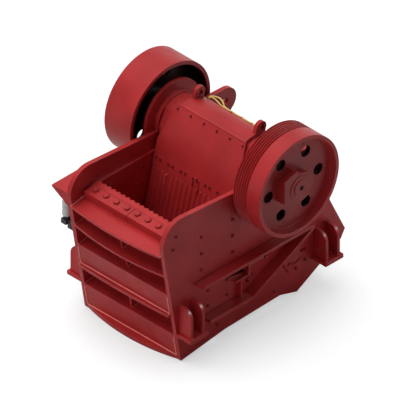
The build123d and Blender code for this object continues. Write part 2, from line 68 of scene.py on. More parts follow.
# The wheels' section: the rim and the web inside it
rim_thick = 0.075
web_inset = 0.129
web_thick = 0.065
web_outer_x = wheel_high.x - web_inset
web_inner_x = wheel_high.x - web_inset - web_thick

# The leaning front: heights along it and depths behind it
lean = radians(9.8)
recess_depth = 0.244
bar_top = 1.695
# Ribs: lower and upper height, and how far their ends stand proud
ribs = ((1.566, 1.596, 0.015), (1.268, 1.298, 0.0), (0.656, 0.701, 0.030), (0.0, 0.060, 0.0))
shelves = ((0.954, 0.994), (0.336, 0.376))
covers = ((0.701, 0.954), (0.060, 0.336))
# Gussets on the middle line: lower and upper height, and depth of the front edge
gussets = ((1.298, 1.566, 0.045), (0.994, 1.268, 0.075), (0.376, 0.656, 0.042))
gusset_half = 0.013
nose_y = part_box("front_cover_lower")[0].y + shelves[1][0] * sin(lean)

# The pitman's barrel and its face
jaw_lean = radians(14.5)
barrel_radius = 0.350
guard_depth = 0.012
guard_bend_down = 0.300
guard_top_radius = 0.375
guard_top_turn = radians(-24)
guard_top_half = 0.547


def front(x, rise, depth):
    """Point so high along the leaning front and so deep behind it."""
    y = nose_y + depth * cos(lean) - rise * sin(lean)
    return Vector((x, y, sole_z + rise * cos(lean) + depth * sin(lean)))


def around(x, radius, behind):
    """Point round the shaft: an angle behind the top, towards +Y."""
    return Vector((x, shaft_y + radius * sin(behind), shaft_z + radius * cos(behind)))


def on_face(x, down, depth):
    """Point on the pitman's face, so far down it and so deep behind it."""
    y = (depth - barrel_radius) * cos(jaw_lean) - down * sin(jaw_lean)
    z = -(depth - barrel_radius) * sin(jaw_lean) - down * cos(jaw_lean)
    return Vector((x, shaft_y + y, shaft_z + z))


front_up = Vector((0, -sin(lean), cos(lean)))
face_out = Vector((0, -cos(jaw_lean), sin(jaw_lean)))
sides = (("right", 1), ("left", -1))


# Materials
def linear(value):
    """Linear share of a value from 0 to 255, by the usual curve of screens."""
    share = value / 255
    return share / 12.92 if share <= 0.04045 else ((share + 0.055) / 1.055) ** 2.4


def colour(red, green, blue):
    """Linear colour from the 0 to 255 values that a screen shows."""
    return (linear(red), linear(green), linear(blue), 1)


def grey(value):
    """Grey of that linear value."""
    return (value, value, value, 1)


def toned(base, share, lift=0.0):
    """Colour made darker or lighter by a share and a lift."""
    return tuple(min(1.0, part * share + lift) for part in base[:3]) + (1,)


def new_material(name):
    """Material with its node tree and its main shader."""
    material = bpy.data.materials.new(name)
    material.use_nodes = True
    tree = material.node_tree
    return material, tree, tree.nodes["Principled BSDF"]


def compute(tree, operation, first, second=0.5):
    """Math node, whose operands are numbers or sockets."""
    node = tree.nodes.new("ShaderNodeMath")
    node.operation = operation
    for socket, value in zip(node.inputs, (first, second)):
        if isinstance(value, (int, float)):
            socket.default_value = value
        else:
            tree.links.new(value, socket)
    return node.outputs[0]


def noise(tree, scale, detail):
    """Noise in the object's own coordinates."""
    place = tree.nodes.new("ShaderNodeTexCoord")
    texture = tree.nodes.new("ShaderNodeTexNoise")
    texture.inputs["Scale"].default_value = scale
    texture.inputs["Detail"].default_value = detail
    tree.links.new(place.outputs["Object"], texture.inputs["Vector"])
    return texture.outputs["Fac"]


def spread(tree, value, low, high, start=0.3, end=0.7):
    """Value mapped from its own spread, start to end, to a range, low to high."""
    node = tree.nodes.new("ShaderNodeMapRange")
    node.inputs["From Min"].default_value = start
    node.inputs["From Max"].default_value = end
    node.inputs["To Min"].default_value = low
    node.inputs["To Max"].default_value = high
    tree.links.new(value, node.inputs["Value"])
    return node.outputs["Result"]


def blend_colours(tree, share, first, second):
    """Colour between two others, which are values or sockets."""
    share_input, first_input, second_input, colour_output = 0, 6, 7, 2
    node = tree.nodes.new("ShaderNodeMix")
    node.data_type = "RGBA"
    for place, value in ((first_input, first), (second_input, second)):
        if isinstance(value, tuple):
            node.inputs[place].default_value = value
        else:
            tree.links.new(value, node.inputs[place])
    tree.links.new(share, node.inputs[share_input])
    return node.outputs[colour_output]


def rounded_normal(tree, radius):
    """Normal of the surface as if its edges were rounded."""
    node = tree.nodes.new("ShaderNodeBevel")
    node.samples = 4
    node.inputs["Radius"].default_value = radius
    return node.outputs["Normal"]


def bumped(tree, height, strength, distance, normal=None):
    """Normal with a bump, on top of another normal if one is given."""
    node = tree.nodes.new("ShaderNodeBump")
    node.inputs["Strength"].default_value = strength
    node.inputs["Distance"].default_value = distance
    tree.links.new(height, node.inputs["Height"])
    if normal:
        tree.links.new(normal, node.inputs["Normal"])
    return node.outputs["Normal"]


def edge_mask(tree, radius):
    """Mask of the edges: where a rounded normal leaves the true one."""
    true = tree.nodes.new("ShaderNodeNewGeometry")
    likeness = tree.nodes.new("ShaderNodeVectorMath")
    likeness.operation = "DOT_PRODUCT"
    tree.links.new(rounded_normal(tree, radius), likeness.inputs[0])
    tree.links.new(true.outputs["Normal"], likeness.inputs[1])
    return spread(tree, likeness.outputs["Value"], low=1.0, high=0.0, start=0.80, end=0.985)


def painted(name, base, rough=0.36, cast=0.0, wear_and_highlight=0.55, edge=0.005):
    """Machine enamel: faint orange peel, slight fading, lighter edges that are partly wear and partly a
    painted highlight; cast adds the sand's texture.
    """
    material, tree, shader = new_material(name)
    deep = toned(base, share=0.88)
    cloud = spread(tree, noise(tree, scale=2.6, detail=4), low=0.0, high=1.0)
    coat = blend_colours(tree, cloud, deep, toned(base, share=1.10, lift=0.004))
    speck = spread(tree, noise(tree, scale=34, detail=5), low=0.0, high=0.22, start=0.52, end=0.74)
    coat = blend_colours(tree, speck, coat, deep)
    # Lighter edges: partly rubbed paint, partly a painted highlight along the bevels
    rub_and_highlight = spread(tree, noise(tree, scale=11, detail=4), low=0.0, high=wear_and_highlight, start=0.42, end=0.66)
    lightened_edges = compute(tree, "MULTIPLY", edge_mask(tree, edge), rub_and_highlight)
    coat = blend_colours(tree, lightened_edges, coat, toned(base, share=1.30, lift=0.09))
    tree.links.new(coat, shader.inputs["Base Color"])
    dull = spread(tree, noise(tree, scale=7.5, detail=4), low=rough - 0.05, high=rough + 0.09)
    tree.links.new(dull, shader.inputs["Roughness"])
    shader.inputs["Specular IOR Level"].default_value = 0.20
    peel = noise(tree, scale=150, detail=2)
    normal = bumped(tree, peel, strength=0.06, distance=0.002, normal=rounded_normal(tree, edge))
    if cast:
        sand = noise(tree, scale=42, detail=5)
        normal = bumped(tree, sand, strength=cast, distance=0.006, normal=normal)
    tree.links.new(normal, shader.inputs["Normal"])
    return material


def plain(name, base, rough, metal=0.0, grain=0.05, gloss=0.5):
    """Small parts: a colour with slight unevenness in tone, gloss and surface."""
    material, tree, shader = new_material(name)
    cloud = spread(tree, noise(tree, scale=24, detail=3), low=0.0, high=1.0)
    coat = blend_colours(tree, cloud, toned(base, share=0.82), base)
    tree.links.new(coat, shader.inputs["Base Color"])
    dull = spread(tree, noise(tree, scale=40, detail=3), low=rough - 0.06, high=rough + 0.08)
    tree.links.new(dull, shader.inputs["Roughness"])
    shader.inputs["Metallic"].default_value = metal
    shader.inputs["Specular IOR Level"].default_value = gloss
    fine = noise(tree, scale=120, detail=3)
    tree.links.new(bumped(tree, fine, strength=grain, distance=0.001), shader.inputs["Normal"])
    return material


def shade_wheel(material, rim_in, web_in):
    """Painted shade: a darker web within the rim, and a near-black inner side of the wheel."""
    web_margin = 0.001
    rim_margin = 0.002
    lip_width = 0.026
    square_on = 0.5
    web_shade_share = 0.5
    tree = material.node_tree
    shader = tree.nodes["Principled BSDF"]
    place = tree.nodes.new("ShaderNodeTexCoord").outputs["Object"]
    from_shaft = tree.nodes.new("ShaderNodeVectorMath")
    from_shaft.operation = "MULTIPLY_ADD"
    from_shaft.inputs[1].default_value = (0, 1, 1)
    from_shaft.inputs[2].default_value = (0, -shaft_y, -shaft_z)
    tree.links.new(place, from_shaft.inputs[0])
    reach = tree.nodes.new("ShaderNodeVectorMath")
    reach.operation = "LENGTH"
    tree.links.new(from_shaft.outputs["Vector"], reach.inputs[0])
    within_rim = compute(tree, "LESS_THAN", reach.outputs["Value"], rim_in - rim_margin)
    within_lip = compute(tree, "LESS_THAN", reach.outputs["Value"], rim_in + lip_width)
    along = tree.nodes.new("ShaderNodeSeparateXYZ")
    tree.links.new(place, along.inputs[0])
    from_middle = compute(tree, "ABSOLUTE", along.outputs["X"])
    inner_side = compute(tree, "LESS_THAN", from_middle, web_in + web_margin)
    geometry = tree.nodes.new("ShaderNodeNewGeometry")
    normal = tree.nodes.new("ShaderNodeSeparateXYZ")
    tree.links.new(geometry.outputs["True Normal"], normal.inputs[0])
    faces_out = compute(tree, "GREATER_THAN", compute(tree, "ABSOLUTE", normal.outputs["X"]), square_on)
    web_shade = compute(tree, "MULTIPLY", compute(tree, "MULTIPLY", within_rim, faces_out), web_shade_share)
    inner_shade = compute(tree, "MULTIPLY", inner_side, within_lip)
    # Painted shade: the web darkened, and the wheel's inner side made near black
    coat = shader.inputs["Base Color"].links[0].from_socket
    coat = blend_colours(tree, web_shade, coat, colour(110, 24, 26))
    coat = blend_colours(tree, inner_shade, coat, colour(40, 9, 9))
    tree.links.new(coat, shader.inputs["Base Color"])


red = colour(171, 40, 42)
plate_paint = painted("plate_enamel", red)
cast_paint = painted("casting_enamel", colour(166, 38, 40), rough=0.40, cast=0.16, edge=0.007)
wheel_paint = painted("wheel_enamel", red, rough=0.34, cast=0.05, wear_and_highlight=0.14, edge=0.006)
shade_wheel(wheel_paint, rim_in=wheel_radius - rim_thick, web_in=web_inner_x)
die_paint = painted("die_enamel", colour(176, 43, 45), rough=0.46, cast=0.12, wear_and_highlight=0.0, edge=0.035)
# Light pink enamel of the welds: a painted highlight along the beads
weld_highlight_paint = painted("weld_highlight_enamel", colour(226, 128, 120), rough=0.42, wear_and_highlight=0.1, edge=0.001)
# Slightly lighter enamel of the guard's weld and the cast bar: a mild painted highlight
seam_highlight_paint = painted("seam_highlight_enamel", colour(186, 58, 58), rough=0.42, wear_and_highlight=0.1, edge=0.001)
bolt_paint = painted("bolt_enamel", colour(136, 28, 31), rough=0.62, wear_and_highlight=0.1, edge=0.001)
head_paint = painted("head_enamel", colour(170, 40, 42), rough=0.42, wear_and_highlight=0.1, edge=0.001)
dark_bolt_paint = painted("socket_enamel", colour(116, 20, 24), rough=0.40, edge=0.001)
black = plain("black_housing", colour(26, 26, 28), rough=0.5)
dull_paint = plain("dull_enamel", colour(162, 38, 40), rough=0.8, gloss=0.05)
bore_shade = plain("bore_shade", colour(20, 6, 6), rough=0.85, gloss=0.05)
ear_shade = plain("ear_shade", colour(112, 20, 20), rough=0.85, gloss=0.05)
clear_grey = plain("reservoir_grey", colour(206, 208, 207), rough=0.22, grain=0.02)
yellow = plain("hose_yellow", colour(236, 200, 112), rough=0.42)
brass = plain("fitting_brass", colour(172, 140, 78), rough=0.34, metal=0.9)

castings = (
    "pitman", "bearing_housing_right", "bearing_housing_left", "pitman_ear_right", "pitman_ear_left",
)


def paint_of(name):
    """Material of a solid."""
    if name in castings:
        return cast_paint
    if name.endswith("jaw_die"):
        return die_paint
    if name.startswith("adjuster_bracket"):
        return head_paint
    if name.startswith("flywheel") or name == "eccentric_shaft":
        return wheel_paint
    if name == "grease_pump":
        return black
    if name == "grease_reservoir":
        return clear_grey
    return plate_paint


for name, node in nodes.items():
    node.data.materials.clear()
    node.data.materials.append(paint_of(name))


# Shapes and places
def add_object(name, data):
    """Object in the scene for a mesh, curve, lamp or camera."""
    item = bpy.data.objects.new(name, data)
    bpy.context.scene.collection.objects.link(item)
    return item


def facing(direction):
    """Turn of a lamp or camera that looks from that direction."""
    return direction.to_track_quat("Z", "Y").to_euler()


def square_to(axis):
    """Two directions square to an axis and to each other."""
    across = axis.orthogonal().normalized()
    return across, axis.cross(across)


def ring_of(centre, across, other, radius, corners, spin=0.0):
    """Regular ring of points around a centre."""
    angles = [spin + 2 * pi * corner / corners for corner in range(corners)]
    return [centre + (across * cos(angle) + other * sin(angle)) * radius for angle in angles]


class Shape:
    """Gathers the points and faces of one piece."""

    def __init__(self):
        self.points = []
        self.faces = []
        self.smooth = []

    def rings(self, rings, smooth=True, looped=False):
        """Skin between rings of equally many points, with caps, or looped back to the first ring."""
        base = len(self.points)
        count = len(rings[0])
        for ring in rings:
            self.points.extend(ring)
        for row in range(len(rings) if looped else len(rings) - 1):
            low = base + row * count
            high = base + (row + 1) % len(rings) * count
            for place in range(count):
                after = (place + 1) % count
                self.faces.append((low + place, low + after, high + after, high + place))
                self.smooth.append(smooth)
        if not looped:
            last = base + (len(rings) - 1) * count
            self.faces.append(tuple(base + place for place in reversed(range(count))))
            self.faces.append(tuple(last + place for place in range(count)))
            self.smooth.extend((False, False))

    def turned(self, centre, axis, profile, corners=24, spin=0.0, smooth=True, looped=False):
        """Solid of revolution: the profile lists radius and height along the axis."""
        axis = axis.normalized()
        across, other = square_to(axis)
        rings = [
            ring_of(centre + axis * height, across, other, radius, corners, spin)
            for radius, height in profile
        ]
        self.rings(rings, smooth, looped)

    def finish(self, name, body, material):
        """Piece made of the shape, on its body and with its slot."""
        mesh = bpy.data.meshes.new(name)
        mesh.from_pydata([tuple(point) for point in self.points], [], self.faces)
        mesh.polygons.foreach_set("use_smooth", self.smooth)
        mesh.materials.append(material)
        mesh.validate()
        piece = add_object(name, mesh)
        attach(piece, body)


# How far the foot of a washer or round head reaches into what carries it
sink = 0.001
# Corners of a hexagon, of a stud's round and of one that fills a bore
hexagon = 6
stud_corners = 16
bore_corners = 32


def hex_bolt(shape, seat, axis, width, height, spin=0.0, washer=True):
    """Hexagon head with a chamfered top, on a washer if it has one."""
    lift = 0.0
    if washer:
        lift = height * 0.16
        rim = width * 0.66
        inner_rim = width * 0.62
        edge = 0.001
        shape.turned(seat - axis * sink, axis, ((rim, 0), (rim, lift), (inner_rim, lift + edge)))
    radius = width / sqrt(3)
    crown = radius * 0.86
    shoulder = height - height * 0.14
    profile = ((radius, 0), (radius, shoulder), (crown, height))
    shape.turned(seat + axis * lift, axis, profile, hexagon, spin, smooth=False)


def nut(shape, seat, axis, width, height, spin=0.0):
    """Hexagon nut on a washer, with the stud's end standing out."""
    hex_bolt(shape, seat, axis, width, height, spin)
    foot = height * 1.12
    stud = width * 0.30
    tip = stud * 0.82
    shoulder = height * 0.35
    end = height * 0.45
    shape.turned(seat + axis * foot, axis, ((stud, 0), (stud, shoulder), (tip, end)), stud_corners)


def socket_head(shape, seat, axis, radius, height):
    """Round head with a rounded rim and a sunk centre."""
    shares = ((1.0, 0.72), (0.93, 0.93), (0.82, 1.0), (0.48, 1.0), (0.44, 0.55))
    profile = [(radius, -sink)] + [(radius * out, height * up) for out, up in shares]
    shape.turned(seat, axis, profile)


# A dark tube on a hole's wall stands in for the shade inside the hole
def shade_tube(shape, seat, axis, outer, inner, start, end):
    """Thin tube inside a hole, from start to end along its axis."""
    profile = ((outer, start), (outer, end), (inner, end), (inner, start))
    shape.turned(seat, axis, profile, bore_corners, looped=True)


def bead(shape, path, radius, pitch=0.011, corners=8):
    """Weld bead along a run of points, with the ripples of its passes."""
    trough, end_share = 0.86, 0.5
    unevenness, wave, shift = 0.07, 37.0, 11.0
    for start, end in zip(path, path[1:]):
        run = end - start
        across, other = square_to(run.normalized())
        steps = max(2, int(run.length / pitch) * 2)
        rings = []
        for step in range(steps + 1):
            share = step / steps
            swell = radius * (1.0 if step % 2 else trough)
            swell *= 1.0 + unevenness * sin(share * run.length * wave + start.z * shift)
            if step in (0, steps):
                swell = radius * end_share
            rings.append(ring_of(start + run * share, across, other, swell, corners))
        shape.rings(rings)


def face_block(shape, x, run, width, depth, stand):
    """Block with rounded shoulders along the pitman's face."""
    shoulder = 0.3
    rings = []
    for lift, inset in ((0.0, 0.0), (stand * (1 - shoulder), 0.0), (stand, stand * shoulder)):
        half = width / 2 - inset
        start = run[0] + inset
        end = run[1] - inset
        corners = ((x - half, start), (x - half, end), (x + half, end), (x + half, start))
        rings.append([on_face(across, down, depth) + face_out * lift for across, down in corners])
    shape.rings(rings, smooth=False)


def tube(name, path, radius, body, material):
    """Round tube on a smooth curve through its control points."""
    curve = bpy.data.curves.new(name, "CURVE")
    curve.dimensions = "3D"
    curve.bevel_depth = radius
    curve.bevel_resolution = 4
    curve.use_fill_caps = True
    spline = curve.splines.new("NURBS")
    spline.points.add(len(path) - 1)
    for point, spot in zip(spline.points, path):
        point.co = (*spot, 1)
    spline.order_u = 3
    spline.use_endpoint_u = True
    spline.resolution_u = 10
    curve.materials.append(material)
    piece = add_object(name, curve)
    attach(piece, body)


# Bolts on the clamp bars, four through each half; here as below, each is turned further than the last
bar_bolt_first = 0.085
bar_bolt_pitch = 0.1695
bar_bolt_depth = 0.283
bar_bolt_width = 0.062
bar_bolt_height = 0.012
bar_bolt_turn = 0.4
bar_washer_radius = 0.042
bar_washer_thick = 0.006
bar_bolt_places = [
    sign * (bar_bolt_first + bar_bolt_pitch * number) for side, sign in sides for number in range(4)
]
bolts = Shape()
washers = Shape()
for number, x in enumerate(bar_bolt_places):
    seat = front(x, bar_top, bar_bolt_depth)
    washers.turned(seat, front_up, ((bar_washer_radius, -sink), (bar_washer_radius, bar_washer_thick)))
    head_seat = seat + front_up * bar_washer_thick
    spin = bar_bolt_turn * number
    hex_bolt(bolts, head_seat, front_up, bar_bolt_width, bar_bolt_height, spin, washer=False)
bolts.finish("clamp_bar_bolts", "frame", head_paint)
# The washers' dark enamel paints the shade that rings each head
washers.finish("clamp_bar_washers", "frame", dark_bolt_paint)

# Nuts on the outside of both side plates: those of the cheek plates' bolts, and four more
cheek_bolts = [(y, z) for y in (-0.845, -0.340) for z in (0.755, 0.980, 1.210)]
cheek_bolts += [(y, z) for y in (-0.738, -0.428) for z in (0.200, 0.412)]
plate_bolts = [(-0.580, -0.144), (0.346, -0.142), (-1.254, 1.418), (-1.303, 1.259)]
plate_nut_width = 0.036
plate_nut_height = 0.016
plate_nut_turn = 0.5
for side, sign in sides:
    nuts = Shape()
    out = Vector((sign, 0, 0))
    for number, (y, z) in enumerate(cheek_bolts + plate_bolts):
        seat = Vector((sign * side_out, y, z))
        nut(nuts, seat, out, plate_nut_width, plate_nut_height, plate_nut_turn * number)
    nuts.finish(f"cheek_nuts_{side}", "frame", bolt_paint)

# Heads of the cheek plates' bolts, on their faces
cheek_head_radius = 0.024
cheek_head_height = 0.007
for side, sign in sides:
    heads = Shape()
    inward = Vector((-sign, 0, 0))
    for y, z in cheek_bolts:
        seat = Vector((sign * cheek_face, y, z))
        socket_head(heads, seat, inward, cheek_head_radius, cheek_head_height)
    heads.finish(f"cheek_bolt_heads_{side}", "frame", bolt_paint)

# Bolts round the bearing housings
housing_bolt_count = 12
housing_bolt_circle = housing_radius - 0.060
housing_bolt_width = 0.046
housing_bolt_height = 0.008
for side, sign in sides:
    bolts = Shape()
    out = Vector((sign, 0, 0))
    for number in range(housing_bolt_count):
        angle = 2 * pi * (number + 0.5) / housing_bolt_count
        seat = around(sign * housing_high.x, housing_bolt_circle, angle)
        hex_bolt(bolts, seat, out, housing_bolt_width, housing_bolt_height, angle, washer=False)
    bolts.finish(f"housing_bolts_{side}", "frame", bolt_paint)

# Bolts of the guard: a row under its curved upper edge and pairs across its lower part
guard_top = around(0, guard_top_radius, guard_top_turn)
guard_bend = on_face(0, guard_bend_down, guard_depth)
guard_chord = guard_top - guard_bend
guard_radius = guard_chord.dot(guard_chord) / (-2 * guard_chord.dot(face_out))
guard_centre = guard_bend - face_out * guard_radius
guard_row_count = 6
guard_row_pitch = 0.2105
guard_row_drop = 0.058
guard_row_out = (guard_top - guard_centre).normalized()
guard_row_out.rotate(Quaternion((1, 0, 0), guard_row_drop / guard_radius))
guard_bolt_width = 0.024
guard_bolt_height = 0.014
guard_bolt_turn = 0.3
guard_pairs = range(-3, 4)
guard_pair_down = 0.415
guard_pair_pitch = 0.199
guard_pair_half = 0.035
guard_head_radius = 0.017
guard_head_height = 0.013
bolts = Shape()
for number in range(guard_row_count):
    seat = guard_centre + guard_row_out * guard_radius
    seat.x = (number - (guard_row_count - 1) / 2) * guard_row_pitch
    spin = guard_bolt_turn * number
    hex_bolt(bolts, seat, guard_row_out, guard_bolt_width, guard_bolt_height, spin)
for number in guard_pairs:
    for offset in (-guard_pair_half, guard_pair_half):
        seat = on_face(number * guard_pair_pitch + offset, guard_pair_down, guard_depth)
        socket_head(bolts, seat, face_out, guard_head_radius, guard_head_height)
bolts.finish("guard_bolts", "pitman", dark_bolt_paint)

# Small things on the pitman's face: a lug on the guard, a cast bar on the die, a stop and a pin; the bar's
# lighter enamel is a mild painted highlight
# Each: name, place across, run down the face, width, depth of its foot, how far it stands out, paint
face_things = (
    ("face_lug", 0.010, (0.383, 0.419), 0.030, guard_depth, 0.022, head_paint),
    ("face_cast_bar", -0.430, (0.540, 0.676), 0.026, 0.006, 0.022, seam_highlight_paint),
    ("face_stop", -0.026, (0.443, 0.507), 0.016, guard_depth, 0.012, dark_bolt_paint),
    ("face_pin", 0.070, (0.415, 0.600), 0.008, guard_depth, 0.007, bolt_paint),
)
for name, x, run, width, depth, stand, paint in face_things:
    block = Shape()
    face_block(block, x, run, width, depth, stand)
    block.finish(name, "pitman", paint)

# Weld along the guard's upper edge, in a lighter enamel that paints a mild highlight
guard_weld_radius = 0.009
guard_reach = Vector((guard_top_half, 0, 0))
guard_weld = Shape()
bead(guard_weld, (guard_top - guard_reach, guard_top + guard_reach), guard_weld_radius)
guard_weld.finish("guard_top_weld", "pitman", seam_highlight_paint)

# Dark tubes in the holes of the wheels' webs and a dark disc in each centre of the shaft, painted shade for
# the holes' depth; plugs in the webs
hole_count = 6
hole_circle = 0.403
hole_outer = 0.0738
hole_inner = 0.0725
hole_margin = 0.003
centre_radius = 0.0298
centre_inset = 0.006
centre_thick = 0.001
plug_circle = 0.500
plug_turns = (-3.5, 18.7, 176.5, 198.7)
plug_radius = 0.016
plug_height = 0.004
for side, sign in sides:
    out = Vector((sign, 0, 0))
    hole_shades = Shape()
    for number in range(hole_count):
        seat = around(sign * web_inner_x, hole_circle, 2 * pi * (number + 0.5) / hole_count)
        shade_tube(hole_shades, seat, out, hole_outer, hole_inner, hole_margin, web_thick - hole_margin)
    seat = around(sign * (shaft_high.x - centre_inset), 0, 0)
    hole_shades.turned(seat, out, ((centre_radius, 0), (centre_radius, centre_thick)), bore_corners)
    hole_shades.finish(f"wheel_hole_shades_{side}", "rotor", bore_shade)
    plugs = Shape()
    for turn in plug_turns:
        seat = around(sign * web_outer_x, plug_circle, radians(turn))
        socket_head(plugs, seat, out, plug_radius, plug_height)
    plugs.finish(f"wheel_plugs_{side}", "rotor", bolt_paint)

# Dark tubes in the holes of the lifting ears: painted shade on the holes' walls
ear_circle = barrel_radius + 0.069
ear_turn = radians(18)
ear_outer = 0.0328
ear_inner = 0.0318
ear_margin = 0.0015
hole_shades = Shape()
for side, sign in sides:
    ear_low, ear_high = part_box(f"pitman_ear_{side}")
    seat = around(ear_low.x + ear_margin, ear_circle, ear_turn)
    length = ear_high.x - ear_low.x - 2 * ear_margin
    shade_tube(hole_shades, seat, Vector((1, 0, 0)), ear_outer, ear_inner, 0, length)
hole_shades.finish("ear_hole_shades", "pitman", ear_shade)

# Welds of the front end, whose light enamel is a painted highlight
weld = 0.008
cover_weld = 0.0105
gusset_weld = 0.0064
bulge_share = 0.9
rib_inset = 0.004
shelf_inset = 0.002
welds = Shape()
for low, high, end_bulge in ribs:
    for side, sign in sides:
        x = sign * side_in
        bead(welds, (front(x, high, -end_bulge * bulge_share), front(x, high, recess_depth)), weld)
        bead(welds, (front(x, low, rib_inset), front(x, low, recess_depth)), weld)
    bead(welds, (front(-side_in, high, recess_depth), front(side_in, high, recess_depth)), weld)
for low, high in shelves:
    for side, sign in sides:
        x = sign * side_in
        bead(welds, (front(x, high, shelf_inset), front(x, high, recess_depth)), weld)
    bead(welds, (front(-side_in, high, recess_depth), front(side_in, high, recess_depth)), weld)
for low, high in covers:
    for side, sign in sides:
        bead(welds, (front(sign * side_in, low, 0), front(sign * side_in, high, 0)), cover_weld)
    bead(welds, (front(-side_in, low, 0), front(side_in, low, 0)), cover_weld)
for low, high, setback in gussets:
    for x in (-gusset_half, gusset_half):
        bead(welds, (front(x, low, setback), front(x, low, recess_depth)), gusset_weld)
        bead(welds, (front(x, low, recess_depth), front(x, high, recess_depth)), gusset_weld)
welds.finish("front_welds", "frame", weld_highlight_paint)

# Welds of the stiffeners and the feet
lower_thick = 0.038
lower_bend_y = -0.148
lower_end_inset = 0.026
lower_top_z = lower_low.z + lower_thick
lower_end_y = upper_high.y - lower_end_inset
foot_base_thick = 0.052
foot_gusset_thick = 0.040
foot_margin = 0.028
foot_far_side = foot_margin + foot_gusset_thick
for side, sign in sides:
    welds = Shape()
    x = sign * side_out
    for z in (upper_low.z, upper_high.z):
        bead(welds, (Vector((x, upper_low.y, z)), Vector((x, upper_high.y, z))), weld)
    for run in (
        ((lower_low.y, lower_top_z), (lower_bend_y, lower_top_z), (lower_end_y, upper_low.z)),
        ((lower_low.y, lower_low.z), (lower_bend_y, lower_low.z)),
    ):
        bead(welds, [Vector((x, y, z)) for y, z in run], weld)
    for end in ("front", "rear"):
        foot_low, foot_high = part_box(f"foot_{end}_{side}")
        base_top = foot_low.z + foot_base_thick
        outer = (foot_high.x if sign > 0 else foot_low.x) - sign * foot_margin
        for y in (
            foot_low.y + foot_margin, foot_low.y + foot_far_side,
            foot_high.y - foot_far_side, foot_high.y - foot_margin,
        ):
            bead(welds, (Vector((x, y, base_top)), Vector((x, y, foot_high.z))), weld)
            bead(welds, (Vector((x, y, base_top)), Vector((outer, y, base_top))), weld)
    welds.finish(f"side_welds_{side}", "frame", dull_paint)

# Dark sheet in the slot over the jaw's wedge, painted shade for the slot's depth, and studs beside its
# bracket
slot_corners = ((-0.462, 0.425), (-0.335, 0.473), (-0.140, 0.473), (-0.140, 0.368), (-0.335, 0.404))
shade_inset = 0.030
shade_thick = 0.010
shade_outer_x = side_out - shade_inset
shade_inner_x = side_out - shade_inset - shade_thick
bracket_studs = ((-0.061, 0.335), (-0.037, 0.303), (-0.102, 0.293), (-0.102, 0.237), (-0.070, 0.400))
bracket_nut_width = 0.034
bracket_nut_height = 0.022
bracket_nut_turn = 0.6
for side, sign in sides:
    shade_sheet = Shape()
    rings = [[Vector((sign * x, y, z)) for y, z in slot_corners] for x in (shade_inner_x, shade_outer_x)]
    shade_sheet.rings(rings, smooth=False)
    shade_sheet.finish(f"slot_shade_{side}", "frame", bore_shade)
    studs = Shape()
    out = Vector((sign, 0, 0))
    for number, (y, z) in enumerate(bracket_studs):
        seat = Vector((sign * side_out, y, z))
        nut(studs, seat, out, bracket_nut_width, bracket_nut_height, bracket_nut_turn * number)
    studs.finish(f"bracket_studs_{side}", "frame", dark_bolt_paint)

# Guides of the toggle's adjustment, low in relief on both side plates, and their bolts
guide_runs = (
    ((0.480, 0.149), (0.572, 0.006)),
    ((0.555, 0.098), (0.583, 0.130), (0.646, 0.090), (0.711, 0.090), (0.770, 0.130)),
)
guide_radius = 0.011
guide_bolts = ((0.690, 0.012), (0.786, 0.214), (0.828, 0.215), (0.832, 0.064))
guide_bolt_width = 0.034
guide_bolt_height = 0.016
guide_bolt_turn = 0.7
for side, sign in sides:
    guides = Shape()
    x = sign * side_out
    out = Vector((sign, 0, 0))
    for run in guide_runs:
        bead(guides, [Vector((x, y, z)) for y, z in run], guide_radius)
    for number, (y, z) in enumerate(guide_bolts):
        spin = guide_bolt_turn * number
        hex_bolt(guides, Vector((x, y, z)), out, guide_bolt_width, guide_bolt_height, spin)
    guides.finish(f"toggle_guides_{side}", "frame", dull_paint)

# Grease lines clipped along the barrel, each with a loop near its fitting on the left
# Each: name, angle behind the top, and its route as places across and heights over the barrel
line_radius = 0.008
line_lift = barrel_radius + line_radius
grease_lines = (
    ("grease_line_long", radians(45), (
        (-0.474, -0.012), (-0.472, 0.030), (-0.410, 0.055), (-0.320, 0.070), (-0.255, 0.040), (-0.215, 0.004),
        (-0.120, 0.0), (0.080, 0.0), (0.260, 0.0), (0.330, 0.0), (0.372, -0.010),
    )),
    ("grease_line_short", radians(39), (
        (-0.440, -0.012), (-0.436, 0.030), (-0.375, 0.036), (-0.310, 0.024), (-0.250, 0.004),
        (-0.150, 0.0), (0.060, 0.0), (0.240, 0.0), (0.320, 0.0), (0.352, -0.010),
    )),
)
for name, turn, route in grease_lines:
    path = [around(x, line_lift + rise, turn) for x, rise in route]
    tube(name, path, line_radius, "pitman", yellow)

# Fittings at the ends of the lines: a hexagon foot in the barrel and a round neck on it
foot_sink = 0.004
neck_rise = 0.008
foot_profile = ((0.016, 0), (0.016, 0.012), (0.014, 0.014))
neck_profile = ((0.011, 0), (0.011, 0.016), (0.009, 0.019))
fittings = Shape()
for name, turn, route in grease_lines:
    axis = Vector((0, sin(turn), cos(turn)))
    for x, rise in (route[0], route[-1]):
        seat = around(x, barrel_radius, turn)
        fittings.turned(seat - axis * foot_sink, axis, foot_profile, hexagon, smooth=False)
        fittings.turned(seat + axis * neck_rise, axis, neck_profile, stud_corners)
fittings.finish("grease_fittings", "pitman", brass)

# Clips that hold the lines to the barrel
clip_places = (-0.060, 0.100, 0.260)
clip_length = 0.014
clip_edge = 0.001
clip_inner = line_radius + 0.0005
clip_outer = line_radius + 0.0025
clip_profile = (
    (clip_inner, 0), (clip_outer, clip_edge),
    (clip_outer, clip_length - clip_edge), (clip_inner, clip_length),
)
clips = Shape()
for x in clip_places:
    for name, turn, route in grease_lines:
        seat = around(x, line_lift, turn) - Vector((clip_length / 2, 0, 0))
        clips.turned(seat, Vector((1, 0, 0)), clip_profile, stud_corners)
clips.finish("grease_line_clips", "pitman", bolt_paint)

